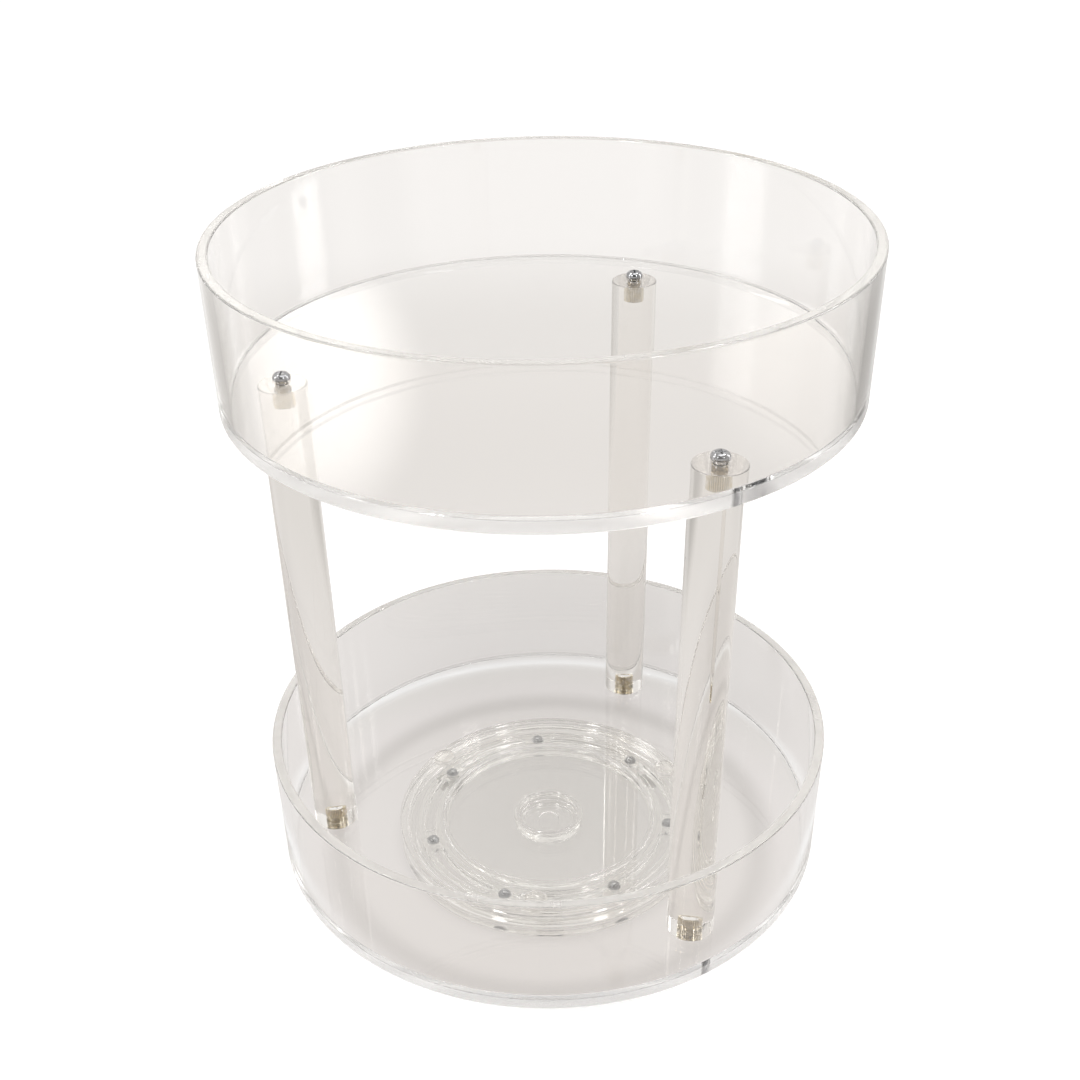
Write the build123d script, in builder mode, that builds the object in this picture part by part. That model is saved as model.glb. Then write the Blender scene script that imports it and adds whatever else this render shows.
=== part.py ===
from build123d import *
from math import degrees
import os

# Two-tier clear acrylic turntable on a ball bearing. Millimetres, +Z up.
# The origin lies on the spin axis, at the level of the table under the feet.

# Trays: a disc of sheet with a cylindrical wall bonded upright on its edge
tray_diameter = 280.0
tray_height = 65.0
wall_thickness = 4.7
floor_thickness = 6.0
rim_chamfer = 0.6
floor_edge_chamfer = 0.5

# Posts: solid rods that carry the upper tray
post_count = 3
post_diameter = 22.0
post_length = 244.0
post_to_wall_gap = 11.0
post_edge_chamfer = 0.4
rear_post_angle = 66.0

# Threaded inserts, let into both ends of each post
insert_diameter = 6.3
insert_length = 9.5
insert_fit = 0.05
bore_end_room = 0.2

# Domed cross-recess screws through the floors into the inserts
thread_diameter = 4.0
thread_engagement = 8.0
thread_fit = 0.05
floor_hole_clearance = 0.25
head_diameter = 8.0
head_height = 2.8
head_round = 2.2
recess_length = 4.4
recess_width = 1.0
recess_depth = 1.5

# Bearing plates: a web with a skirt at the rim, a grooved race on the base and a raised flat one on the top plate
bearing_diameter = 160.0
plate_web = 2.2
skirt_wall = 4.0
skirt_gap = 0.6
skirt_channel = 3.75
race_width = 15.5
race_floor = 3.0
groove_clearance = 0.25
race_wall = 1.5
plate_edge_chamfer = 0.5

# Balls and the cage that spaces them
ball_count = 7
ball_diameter = 6.35
first_ball_angle = 95.0
cage_width = 12.0
cage_thickness = 2.0
cage_gap = 0.3
pocket_clearance = 0.2
slot_width = 7.0
slot_to_pocket = 4.0

# Hub on the base plate, and the flanged cup bonded on it that holds the top plate down
hub_height = 2.0
hub_wall = 4.0
cap_diameter = 37.2
cap_flange = 0.9
cap_flange_rise = 0.3
cap_flange_overlap = 0.8
cap_wall = 1.9
cap_floor = 1.4
cap_chamfer = 0.3
hub_clearance = 0.3
plug_length = 1.6
plug_fit = 0.05
dimple_diameter = 11.0
dimple_depth = 0.5

# Pads that bond the bearing to the lower floor
pad_count = 3
pad_diameter = 12.0
pad_thickness = 3.5
pad_to_rim = 2.5
first_pad_angle = 24.5

# Soft feet, seated in shallow recesses under the base plate
foot_count = 3
foot_diameter = 13.0
foot_height = 1.5
foot_seat_depth = 0.6
foot_fit = 0.1
foot_chamfer = 0.4
first_foot_angle = 30.0

# Radii worked out from the sizes above
tray_radius = tray_diameter / 2
wall_inner_radius = tray_radius - wall_thickness
post_radius = post_diameter / 2
post_circle_radius = wall_inner_radius - post_to_wall_gap - post_radius
insert_radius = insert_diameter / 2
thread_radius = thread_diameter / 2
bearing_radius = bearing_diameter / 2
skirt_inner_radius = bearing_radius - skirt_wall
race_outer_radius = skirt_inner_radius - skirt_channel
race_inner_radius = race_outer_radius - race_width
ball_circle_radius = race_outer_radius - race_width / 2
ball_radius = ball_diameter / 2
groove_radius = ball_radius + groove_clearance
race_wall_radius = race_inner_radius - race_wall
cap_radius = cap_diameter / 2
hub_hole_radius = cap_radius - cap_flange_overlap
hub_radius = hub_hole_radius - hub_clearance
hub_bore_radius = hub_radius - hub_wall
cup_inner_radius = hub_radius - cap_wall
pad_circle_radius = bearing_radius - pad_to_rim - pad_diameter / 2

# Levels, from the table up
base_bottom = foot_height
base_web_top = base_bottom + plate_web
hub_top = base_web_top + hub_height
ball_level = base_bottom + race_floor + groove_radius
base_skirt_top = ball_level - skirt_gap / 2
top_skirt_bottom = ball_level + skirt_gap / 2
cage_bottom = ball_level - cage_thickness / 2
base_race_top = cage_bottom - cage_gap
race_roof = ball_level + groove_radius
top_plate_top = race_roof + race_floor
top_web_top = top_skirt_bottom + plate_web
flange_bottom = top_web_top + cap_flange_rise
cap_top = flange_bottom + cap_flange
lower_floor_bottom = top_plate_top + pad_thickness
lower_floor_top = lower_floor_bottom + floor_thickness
upper_floor_bottom = lower_floor_top + post_length
upper_floor_top = upper_floor_bottom + floor_thickness

os.makedirs("parts", exist_ok=True)

# Tray floors and walls: the wall stands on the floor, flush with its edge
for tier, floor_bottom in (("lower", lower_floor_bottom), ("upper", upper_floor_bottom)):
    with BuildPart() as tray_floor:
        with BuildSketch(Plane.XY.offset(floor_bottom)):
            Circle(tray_radius)
            with PolarLocations(post_circle_radius, post_count, start_angle=rear_post_angle):
                Circle(thread_radius + floor_hole_clearance, mode=Mode.SUBTRACT)
        extrude(amount=floor_thickness)
        bottom_edges = tray_floor.edges().filter_by(GeomType.CIRCLE).group_by(Axis.Z)[0]
        chamfer(bottom_edges.sort_by(SortBy.RADIUS)[-1], floor_edge_chamfer)
    tray_floor.part.label = f"{tier}_tray_floor"
    export_step(tray_floor.part, f"parts/{tier}_tray_floor.step")

    with BuildPart() as tray_wall:
        with BuildSketch(Plane.XY.offset(floor_bottom + floor_thickness)):
            Circle(tray_radius)
            Circle(wall_inner_radius, mode=Mode.SUBTRACT)
        extrude(amount=tray_height - floor_thickness)
        chamfer(tray_wall.edges().group_by(Axis.Z)[-1], rim_chamfer)
    tray_wall.part.label = f"{tier}_tray_wall"
    export_step(tray_wall.part, f"parts/{tier}_tray_wall.step")

# The end faces of the posts, each with its normal pointing into the post
lower_end = Plane(origin=(0, 0, lower_floor_top), x_dir=(1, 0, 0), z_dir=(0, 0, 1))
upper_end = Plane(origin=(0, 0, upper_floor_bottom), x_dir=(1, 0, 0), z_dir=(0, 0, -1))

# Posts: rods bored at both ends for the inserts
post_step = 360 / post_count
bore_depth = max(insert_length, thread_engagement) + bore_end_room
for index, place in enumerate(("rear", "left", "right")):
    post_angle = rear_post_angle + index * post_step
    with BuildPart() as post:
        with BuildSketch(lower_end):
            with PolarLocations(post_circle_radius, 1, start_angle=post_angle):
                Circle(post_radius)
        extrude(amount=post_length)
        end_edges = post.edges().filter_by(GeomType.CIRCLE)
        chamfer(end_edges, post_edge_chamfer)
        for end, turn in ((lower_end, 1), (upper_end, -1)):
            with BuildSketch(end):
                with PolarLocations(post_circle_radius, 1, start_angle=turn * post_angle):
                    Circle(insert_radius + insert_fit)
            extrude(amount=bore_depth, mode=Mode.SUBTRACT)
    post.part.label = f"post_{place}"
    export_step(post.part, f"parts/post_{place}.step")

# Inserts: bushes flush with the ends of the posts
for tier, end, turn in (("lower", lower_end, 1), ("upper", upper_end, -1)):
    with BuildPart() as inserts:
        with BuildSketch(end):
            with PolarLocations(post_circle_radius, post_count, start_angle=turn * rear_post_angle):
                Circle(insert_radius)
                Circle(thread_radius + thread_fit, mode=Mode.SUBTRACT)
        extrude(amount=insert_length)
    inserts.part.label = f"{tier}_inserts"
    export_step(inserts.part, f"parts/{tier}_inserts.step")

# Screws: the heads seat on the upper floor from above and on the lower floor from below
lower_seat = Plane(origin=(0, 0, lower_floor_bottom), x_dir=(1, 0, 0), z_dir=(0, 0, -1))
upper_seat = Plane(origin=(0, 0, upper_floor_top), x_dir=(1, 0, 0), z_dir=(0, 0, 1))
for tier, seat, turn in (("lower", lower_seat, -1), ("upper", upper_seat, 1)):
    crown_axis = Axis((0, 0, 0), (0, 0, turn))
    with BuildPart() as screws:
        with BuildSketch(seat):
            with PolarLocations(post_circle_radius, post_count, start_angle=turn * rear_post_angle):
                Circle(head_diameter / 2)
        extrude(amount=head_height)
        fillet(screws.edges().group_by(crown_axis)[-1], head_round)
        with BuildSketch(seat):
            with PolarLocations(post_circle_radius, post_count, start_angle=turn * rear_post_angle):
                Circle(thread_radius)
        extrude(amount=-(floor_thickness + thread_engagement))
        with BuildSketch(seat.offset(head_height)):
            with PolarLocations(post_circle_radius, post_count, start_angle=turn * rear_post_angle):
                Rectangle(recess_length, recess_width)
                Rectangle(recess_width, recess_length)
        extrude(amount=-recess_depth, mode=Mode.SUBTRACT)
    screws.part.label = f"{tier}_screws"
    export_step(screws.part, f"parts/{tier}_screws.step")

# Bearing base plate: a turned profile with the lower ball groove and the hub, recessed for the feet
with BuildPart() as bearing_base_plate:
    with BuildSketch(Plane.XZ):
        with BuildLine():
            Polyline(
                (0, base_bottom),
                (bearing_radius, base_bottom),
                (bearing_radius, base_skirt_top),
                (skirt_inner_radius, base_skirt_top),
                (skirt_inner_radius, base_web_top),
                (race_outer_radius, base_web_top),
                (race_outer_radius, base_race_top),
                (race_inner_radius, base_race_top),
                (race_inner_radius, base_web_top),
                (hub_radius, base_web_top),
                (hub_radius, hub_top),
                (hub_bore_radius, hub_top),
                (hub_bore_radius, base_web_top),
                (0, base_web_top),
                close=True,
            )
        make_face()
        with Locations((ball_circle_radius, ball_level)):
            Circle(groove_radius, mode=Mode.SUBTRACT)
    revolve(axis=Axis.Z)
    rim_edges = bearing_base_plate.edges().filter_by(GeomType.CIRCLE).group_by(SortBy.RADIUS)[-1]
    chamfer(rim_edges, plate_edge_chamfer)
    with BuildSketch(Plane.XY.offset(base_bottom)):
        with PolarLocations(ball_circle_radius, foot_count, start_angle=first_foot_angle):
            Circle(foot_diameter / 2 + foot_fit)
    extrude(amount=foot_seat_depth, mode=Mode.SUBTRACT)
bearing_base_plate.part.label = "bearing_base_plate"
export_step(bearing_base_plate.part, "parts/bearing_base_plate.step")

# Bearing top plate: a flat race ring that runs on the balls, stepped down to a lower web inside it
with BuildPart() as bearing_top_plate:
    with BuildSketch(Plane.XZ):
        with BuildLine():
            Polyline(
                (hub_hole_radius, top_skirt_bottom),
                (race_inner_radius, top_skirt_bottom),
                (race_inner_radius, race_roof),
                (skirt_inner_radius, race_roof),
                (skirt_inner_radius, top_skirt_bottom),
                (bearing_radius, top_skirt_bottom),
                (bearing_radius, top_plate_top),
                (race_wall_radius, top_plate_top),
                (race_wall_radius, top_web_top),
                (hub_hole_radius, top_web_top),
                close=True,
            )
        make_face()
    revolve(axis=Axis.Z)
    rim_edges = bearing_top_plate.edges().filter_by(GeomType.CIRCLE).group_by(SortBy.RADIUS)[-1]
    chamfer(rim_edges, plate_edge_chamfer)
bearing_top_plate.part.label = "bearing_top_plate"
export_step(bearing_top_plate.part, "parts/bearing_top_plate.step")

# Hub cap: a cup plugged into the hub, whose flange reaches over the top plate's web and keeps it down
with BuildPart() as hub_cap:
    with BuildSketch(Plane.XZ):
        with BuildLine():
            Polyline(
                (0, hub_top - plug_length),
                (hub_bore_radius - plug_fit, hub_top - plug_length),
                (hub_bore_radius - plug_fit, hub_top),
                (hub_radius, hub_top),
                (hub_radius, flange_bottom),
                (cap_radius, flange_bottom),
                (cap_radius, cap_top),
                (cup_inner_radius, cap_top),
                (cup_inner_radius, hub_top + cap_floor),
                (dimple_diameter / 2, hub_top + cap_floor),
                (dimple_diameter / 2, hub_top + cap_floor - dimple_depth),
                (0, hub_top + cap_floor - dimple_depth),
                close=True,
            )
        make_face()
    revolve(axis=Axis.Z)
    chamfer(hub_cap.edges().group_by(Axis.Z)[-1], cap_chamfer)
hub_cap.part.label = "hub_cap"
export_step(hub_cap.part, "parts/hub_cap.step")

# Ball cage: a flat ring with a round pocket for each ball and a curved window between pockets
ball_step = 360 / ball_count
pocket_radius = ball_radius + pocket_clearance
slot_end_angle = degrees((pocket_radius + slot_to_pocket + slot_width / 2) / ball_circle_radius)
with BuildPart() as ball_cage:
    with BuildSketch(Plane.XY.offset(cage_bottom)):
        Circle(ball_circle_radius + cage_width / 2)
        Circle(ball_circle_radius - cage_width / 2, mode=Mode.SUBTRACT)
        with PolarLocations(ball_circle_radius, ball_count, start_angle=first_ball_angle):
            Circle(pocket_radius, mode=Mode.SUBTRACT)
        for index in range(ball_count):
            slot_start = first_ball_angle + index * ball_step + slot_end_angle
            slot_sweep = ball_step - 2 * slot_end_angle
            slot_line = CenterArc((0, 0), ball_circle_radius, slot_start, slot_sweep, mode=Mode.PRIVATE)
            SlotArc(slot_line, slot_width, mode=Mode.SUBTRACT)
    extrude(amount=cage_thickness)
ball_cage.part.label = "ball_cage"
export_step(ball_cage.part, "parts/ball_cage.step")

# Steel balls, one in each pocket
for index in range(ball_count):
    ball_angle = first_ball_angle + index * ball_step
    with BuildPart() as bearing_ball:
        with Locations((0, 0, ball_level)):
            with PolarLocations(ball_circle_radius, 1, start_angle=ball_angle):
                Sphere(ball_radius)
    bearing_ball.part.label = f"bearing_ball_{index + 1}"
    export_step(bearing_ball.part, f"parts/bearing_ball_{index + 1}.step")

# Bond pads between the top plate and the lower floor
for index in range(pad_count):
    pad_angle = first_pad_angle + index * 360 / pad_count
    with BuildPart() as bond_pad:
        with BuildSketch(Plane.XY.offset(top_plate_top)):
            with PolarLocations(pad_circle_radius, 1, start_angle=pad_angle):
                Circle(pad_diameter / 2)
        extrude(amount=pad_thickness)
    bond_pad.part.label = f"bond_pad_{index + 1}"
    export_step(bond_pad.part, f"parts/bond_pad_{index + 1}.step")

# Feet: soft buttons that stand on the table
for index in range(foot_count):
    foot_angle = first_foot_angle + index * 360 / foot_count
    with BuildPart() as foot:
        with BuildSketch(Plane.XY):
            with PolarLocations(ball_circle_radius, 1, start_angle=foot_angle):
                Circle(foot_diameter / 2)
        extrude(amount=foot_height + foot_seat_depth)
        chamfer(foot.edges().group_by(Axis.Z)[0], foot_chamfer)
    foot.part.label = f"foot_{index + 1}"
    export_step(foot.part, f"parts/foot_{index + 1}.step")
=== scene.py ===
# A clear two-tier turntable: two walled acrylic trays on three rods, turning on a moulded ball bearing.
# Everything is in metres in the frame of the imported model. The sizes of pieces are in millimetres, times MM.

import math

import bpy
import numpy as np
from mathutils import Matrix, Vector


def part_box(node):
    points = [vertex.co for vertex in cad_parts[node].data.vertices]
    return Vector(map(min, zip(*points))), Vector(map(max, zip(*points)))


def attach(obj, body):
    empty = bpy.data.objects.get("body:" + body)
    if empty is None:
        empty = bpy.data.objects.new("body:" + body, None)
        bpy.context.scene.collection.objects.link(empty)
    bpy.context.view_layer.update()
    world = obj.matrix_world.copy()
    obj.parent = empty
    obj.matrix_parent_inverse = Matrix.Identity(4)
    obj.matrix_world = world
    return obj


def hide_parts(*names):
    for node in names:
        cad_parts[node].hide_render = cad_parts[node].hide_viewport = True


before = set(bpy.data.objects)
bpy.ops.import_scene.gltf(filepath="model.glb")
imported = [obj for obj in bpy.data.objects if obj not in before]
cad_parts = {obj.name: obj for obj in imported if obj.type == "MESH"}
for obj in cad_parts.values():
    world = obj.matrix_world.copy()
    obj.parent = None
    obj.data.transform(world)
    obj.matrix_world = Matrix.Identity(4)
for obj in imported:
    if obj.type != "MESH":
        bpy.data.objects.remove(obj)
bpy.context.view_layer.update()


# Feet: three buttons of translucent silicone, cast soft and pressed into shallow seats under the base plate.
# Each stands on a raised rim, with its middle hollowed a little so that it grips the table.
MM = 0.001
TURN_STEPS = 576
SMALL_STEPS = 96
HOLD_SHARE = 0.35
TINY = 1e-9
SAME_POINT = 1e-6
SHARP_ANGLE = math.radians(38)
FOOT_RIM = 1.8
FOOT_HOLLOW = 0.2
HOLLOW_SLOPE = 0.4
FOOT_FILM = 0.03
HOLLOW_EASE = 0.1
FOOT_RIM_EASE = 0.12
FOOT_LOW_EASE = 0.5
FOOT_TOP_EASE = 0.25


def linear(hex_code):
    """A colour written as sRGB hex, as linear RGBA: each channel goes through the sRGB curve."""
    srgb = np.array([int(hex_code[k:k + 2], 16) for k in (1, 3, 5)]) / 255
    low, high = srgb / 12.92, ((srgb + 0.055) / 1.055) ** 2.4
    return (*np.where(srgb <= 0.04045, low, high).tolist(), 1.0)


def add(tree, kind, inputs=None, **settings):
    """Adds one node with its settings. A socket in inputs gets a value, or a link from another node."""
    made = tree.nodes.new(kind)
    for name, value in settings.items():
        setattr(made, name, value)
    for name, value in (inputs or {}).items():
        if isinstance(value, bpy.types.NodeSocket):
            tree.links.new(value, made.inputs[name])
        else:
            made.inputs[name].default_value = value
    return made


def eased(corners, closed=False, steps=5):
    """Rounds a profile. Each corner (radius, height, ease) becomes an arc of that ease between the points
    where it touches the two sides, swung by slerp about its centre, with one more point on each side just
    beyond the arc, so that the flats beside it stay flat in the shading. No ease keeps the corner."""
    corners = np.array(corners, float)
    at, ease = corners[:, :2], corners[:, 2:]
    back, ahead = np.roll(at, 1, 0) - at, np.roll(at, -1, 0) - at
    back /= np.linalg.norm(back, axis=1, keepdims=True)
    ahead /= np.linalg.norm(ahead, axis=1, keepdims=True)
    half = np.arccos(np.clip((back * ahead).sum(1, keepdims=True), -1, 1)) / 2
    reach = ease / np.tan(half)
    middle = back + ahead
    middle /= np.maximum(np.linalg.norm(middle, axis=1, keepdims=True), TINY)
    centre = at + middle * ease / np.sin(half)
    first, last = at + back * reach - centre, at + ahead * reach - centre
    swing = np.maximum(np.pi - 2 * half, TINY)[:, None]
    share = np.linspace(0, 1, steps + 1)[None, :, None]
    arc = np.sin((1 - share) * swing) * first[:, None] + np.sin(share * swing) * last[:, None]
    arc = centre[:, None] + arc / np.sin(swing)
    before = (at + back * reach * (1 + HOLD_SHARE))[:, None]
    after = (at + ahead * reach * (1 + HOLD_SHARE))[:, None]
    line = np.concatenate([before, arc, after], axis=1).reshape(-1, 2)
    gap = np.linalg.norm(line - np.roll(line, 1, 0), axis=1)
    keep = gap > SAME_POINT
    if not closed:
        keep[0] = True
    return line[keep]


def ringed(radius, height, centre=(0.0, 0.0), closed=False):
    """A surface made of rings, from the lowest inside, out, up and back in. Row i, column j stands at angle
    t = 2 pi j / columns: x = cx + radius cos t, y = cy + radius sin t, z = height. A first or last row of
    radius nought becomes a pole, and a closed surface joins its last ring to its first."""
    rows, columns = radius.shape
    turn = np.linspace(0, 2 * np.pi, columns, endpoint=False)
    x, y = centre[0] + radius * np.cos(turn), centre[1] + radius * np.sin(turn)
    points = np.stack([x, y, height], axis=-1).reshape(-1, 3)
    index = np.arange(rows * columns).reshape(rows, columns)
    if closed:
        index = np.vstack([index, index[:1]])
    beside = np.roll(index, -1, axis=1)
    quads = np.stack([index[:-1], beside[:-1], beside[1:], index[1:]], axis=-1)
    low_pole = not closed and radius[0].max() < TINY
    high_pole = not closed and radius[-1].max() < TINY
    tris = []
    if low_pole:
        tris.append(np.stack([np.full(columns, index[0, 0]), beside[1], index[1]], axis=-1))
        quads = quads[1:]
    if high_pole:
        tris.append(np.stack([index[-2], beside[-2], np.full(columns, index[-1, 0])], axis=-1))
        quads = quads[:-1]
    tris = np.concatenate(tris) if tris else np.zeros((0, 3), int)
    return points, quads.reshape(-1, 4), tris


def turned(profile, centre=(0.0, 0.0), closed=False, steps=TURN_STEPS):
    """A surface of revolution: every (radius, height) point of the profile, in millimetres, carried round the
    upright axis through centre, which is in metres."""
    ring = np.ones(steps)
    return ringed(profile[:, :1] * ring * MM, profile[:, 1:] * ring * MM, centre, closed)


def gathered(shapes):
    """Several shapes as one: their points in a row, with each shape's faces counted on from the last."""
    starts = np.cumsum([0] + [len(points) for points, _, _ in shapes])
    points = np.concatenate([points for points, _, _ in shapes])
    quads = np.concatenate([quads + start for (_, quads, _), start in zip(shapes, starts)])
    tris = np.concatenate([tris + start for (_, _, tris), start in zip(shapes, starts)])
    return points, quads, tris


def shaped(name, shape):
    """A new object of that shape, with the unused points of its poles left out and its edges sharp where they
    turn by more than SHARP_ANGLE."""
    points, quads, tris = shape
    used, numbers = np.unique(np.concatenate([quads.ravel(), tris.ravel()]), return_inverse=True)
    quads, tris = numbers[:quads.size].reshape(-1, 4), numbers[quads.size:].reshape(-1, 3)
    mesh = bpy.data.meshes.new(name)
    mesh.from_pydata(points[used].tolist(), [], quads.tolist() + tris.tolist())
    mesh.shade_smooth()
    mesh.set_sharp_from_angle(angle=SHARP_ANGLE)
    piece = bpy.data.objects.new(name, mesh)
    bpy.context.scene.collection.objects.link(piece)
    return piece


def fitted(piece, finish, body, slot, *nodes):
    """Gives a piece its finish, parents it to the empty of the body it rides on, and hides the CAD nodes it
    stands for. The slot is not used."""
    piece.data.materials.append(finish)
    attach(piece, body)
    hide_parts(*nodes)


def middle_of(node):
    """The middle of a CAD node's box, seen from above."""
    low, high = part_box(node)
    return ((low.x + high.x) / 2, (low.y + high.y) / 2)


def new_finish(name):
    """An empty material, with its node tree and its output."""
    material = bpy.data.materials.new(name)
    material.use_nodes = True
    material.node_tree.nodes.clear()
    output = material.node_tree.nodes.new("ShaderNodeOutputMaterial")
    return material, material.node_tree, output


# Cast translucent silicone: milky, soft to light, with a dull skin and a little dust on it.
silicone, tree, output = new_finish("translucent_silicone")
place = add(tree, "ShaderNodeTexCoord").outputs["Object"]
dust = add(tree, "ShaderNodeTexNoise", {"Vector": place, "Scale": 1 / (1.5 * MM), "Detail": 4.0})
dull = add(tree, "ShaderNodeMapRange", {"Value": dust.outputs["Fac"], "To Min": 0.35, "To Max": 0.6})
skin = add(tree, "ShaderNodeBsdfPrincipled", {
    "Base Color": linear("#F1EFEB"), "IOR": 1.41, "Transmission Weight": 0.6,
    "Roughness": dull.outputs["Result"]})
tree.links.new(skin.outputs["BSDF"], output.inputs["Surface"])

foot_names = ["foot_1", "foot_2", "foot_3"]
foot_low, foot_high = (corner.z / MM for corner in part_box("foot_1"))
foot_radius = (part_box("foot_1")[1].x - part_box("foot_1")[0].x) / 2 / MM
foot_profile = eased([
    (0, foot_low + FOOT_HOLLOW, 0),
    (foot_radius - FOOT_RIM - HOLLOW_SLOPE, foot_low + FOOT_HOLLOW, HOLLOW_EASE),
    (foot_radius - FOOT_RIM, foot_low, FOOT_RIM_EASE),
    (foot_radius, foot_low, FOOT_LOW_EASE),
    (foot_radius, foot_high - FOOT_FILM, FOOT_TOP_EASE),
    (0, foot_high - FOOT_FILM, 0),
])
for name in foot_names:
    foot = shaped("silicone_" + name, turned(foot_profile, middle_of(name), steps=SMALL_STEPS))
    fitted(foot, silicone, "base", "foot_rubber", name)


# Bearing base plate: a clear styrene moulding with a skirt, a raised race with the ball groove, and the hub.
# It stands still on the feet, which sit in three round seats in its underside.
plate_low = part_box("bearing_base_plate")[0].z / MM
PLATE_RADIUS = 80.0
SKIRT_INSIDE = 76.0
RACE_OUTSIDE = 72.25
RACE_INSIDE = 56.75
BALL_CIRCLE = 64.5
BALL_RISE = 6.425
GROOVE = 3.425
WEB = 2.2
HUB_RADIUS = 17.5
HUB_BORE = 13.5
HUB_RISE = 2.0
RACE_BELOW_BALL = 1.3
HALF_SKIRT_GAP = 0.3
BALL_LEVEL = plate_low + BALL_RISE
BASE_WEB_TOP = plate_low + WEB
BASE_RACE_TOP = BALL_LEVEL - RACE_BELOW_BALL
BASE_SKIRT_TOP = BALL_LEVEL - HALF_SKIRT_GAP
HUB_TOP = BASE_WEB_TOP + HUB_RISE
BASE_STEPS = 780
FOOT_SEAT = 0.6
FOOT_ROOM = 0.1
CUT_OVER = 1.0
LOW_EDGE_EASE = 0.6
LAND_EASE = 0.5
ROOT_EASE = 0.8
HUB_ROOT_EASE = 0.6
HUB_EASE = 0.1
BORE_ROOT_EASE = 0.3


def groove_arc(level, steps=24):
    """The arc of the ball groove cut into a race face at that level, as profile corners with no easing:
    points at GROOVE from the ball's centre, going inwards under the ball from edge to edge."""
    lip = math.asin((BALL_LEVEL - level) / GROOVE)
    swing = np.linspace(lip, math.pi - lip, steps)
    across = BALL_CIRCLE + GROOVE * np.cos(swing)
    up = BALL_LEVEL - GROOVE * np.sin(swing)
    return np.stack([across, up, np.zeros(steps)], axis=1).tolist()


def cut(piece, shape):
    """Takes a closed shape away from a piece with a Boolean, and keeps the result as the piece's own mesh."""
    cutter = shaped("cutter", shape)
    modifier = piece.modifiers.new("cut", "BOOLEAN")
    modifier.operation, modifier.solver, modifier.object = "DIFFERENCE", "EXACT", cutter
    graph = bpy.context.evaluated_depsgraph_get()
    whole = piece.data
    piece.data = bpy.data.meshes.new_from_object(piece.evaluated_get(graph))
    piece.data.name = whole.name
    piece.modifiers.clear()
    bpy.data.objects.remove(cutter)
    bpy.data.meshes.remove(whole)
    piece.data.set_sharp_from_angle(angle=SHARP_ANGLE)


# Injection-moulded clear styrene: water clear and glossy, with a faint haze where the plastic flowed in.
styrene, tree, output = new_finish("moulded_clear_styrene")
place = add(tree, "ShaderNodeTexCoord").outputs["Object"]
flow = add(tree, "ShaderNodeTexNoise", {"Vector": place, "Scale": 1 / (14 * MM), "Detail": 2.0})
haze = add(tree, "ShaderNodeMapRange", {
    "Value": flow.outputs["Fac"], "From Min": 0.5, "From Max": 0.8, "To Min": 0.0, "To Max": 0.04})
clear = add(tree, "ShaderNodeBsdfPrincipled", {
    "Base Color": linear("#FEFEFD"), "IOR": 1.57, "Transmission Weight": 1.0,
    "Roughness": haze.outputs["Result"]})
tree.links.new(clear.outputs["BSDF"], output.inputs["Surface"])

base_profile = eased([
    (0, plate_low, 0),
    (PLATE_RADIUS, plate_low, LOW_EDGE_EASE),
    (PLATE_RADIUS, BASE_SKIRT_TOP, LAND_EASE),
    (SKIRT_INSIDE, BASE_SKIRT_TOP, LAND_EASE),
    (SKIRT_INSIDE, BASE_WEB_TOP, ROOT_EASE),
    (RACE_OUTSIDE, BASE_WEB_TOP, ROOT_EASE),
    (RACE_OUTSIDE, BASE_RACE_TOP, LAND_EASE),
    *groove_arc(BASE_RACE_TOP),
    (RACE_INSIDE, BASE_RACE_TOP, LAND_EASE),
    (RACE_INSIDE, BASE_WEB_TOP, ROOT_EASE),
    (HUB_RADIUS, BASE_WEB_TOP, HUB_ROOT_EASE),
    (HUB_RADIUS, HUB_TOP, HUB_EASE),
    (HUB_BORE, HUB_TOP, HUB_EASE),
    (HUB_BORE, BASE_WEB_TOP, BORE_ROOT_EASE),
    (0, BASE_WEB_TOP, 0),
])
base_plate = shaped("bearing_base_moulding", turned(base_profile, steps=BASE_STEPS))
seat_radius = foot_radius + FOOT_ROOM
seat_profile = np.array([
    (0, plate_low - CUT_OVER), (seat_radius, plate_low - CUT_OVER),
    (seat_radius, plate_low + FOOT_SEAT), (0, plate_low + FOOT_SEAT)])
cut(base_plate, gathered([turned(seat_profile, middle_of(name), steps=SMALL_STEPS) for name in foot_names]))
fitted(base_plate, styrene, "base", "clear_moulding", "bearing_base_plate")


# Ball cage: a flat ring of the same clear styrene that keeps the balls apart, loose between the two races.
# A round pocket holds each ball, and a long curved window between pockets saves plastic.
BALL_COUNT = 7
FIRST_BALL = 95.0
CAGE_HALF = 6.0
CAGE_THICK = 2.0
POCKET = 3.375
POCKET_STEPS = 40
WINDOW_HALF = 3.5
WINDOW_TO_POCKET = 4.0
CAGE_EASE = 0.25
SEAM_WIDTH = 0.002


def loop_line(curve, points):
    """Adds one closed straight-run line of (x, y) points to a flat curve."""
    line = curve.splines.new("POLY")
    line.points.add(len(points) - 1)
    flat = np.concatenate([points, np.zeros((len(points), 1)), np.ones((len(points), 1))], axis=1)
    line.points.foreach_set("co", flat.ravel())
    line.use_cyclic_u = True


def circle(radius, steps, centre=(0.0, 0.0)):
    """Points round a circle."""
    turn = np.linspace(0, 2 * np.pi, steps, endpoint=False)
    return np.stack([centre[0] + radius * np.cos(turn), centre[1] + radius * np.sin(turn)], axis=1)


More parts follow.
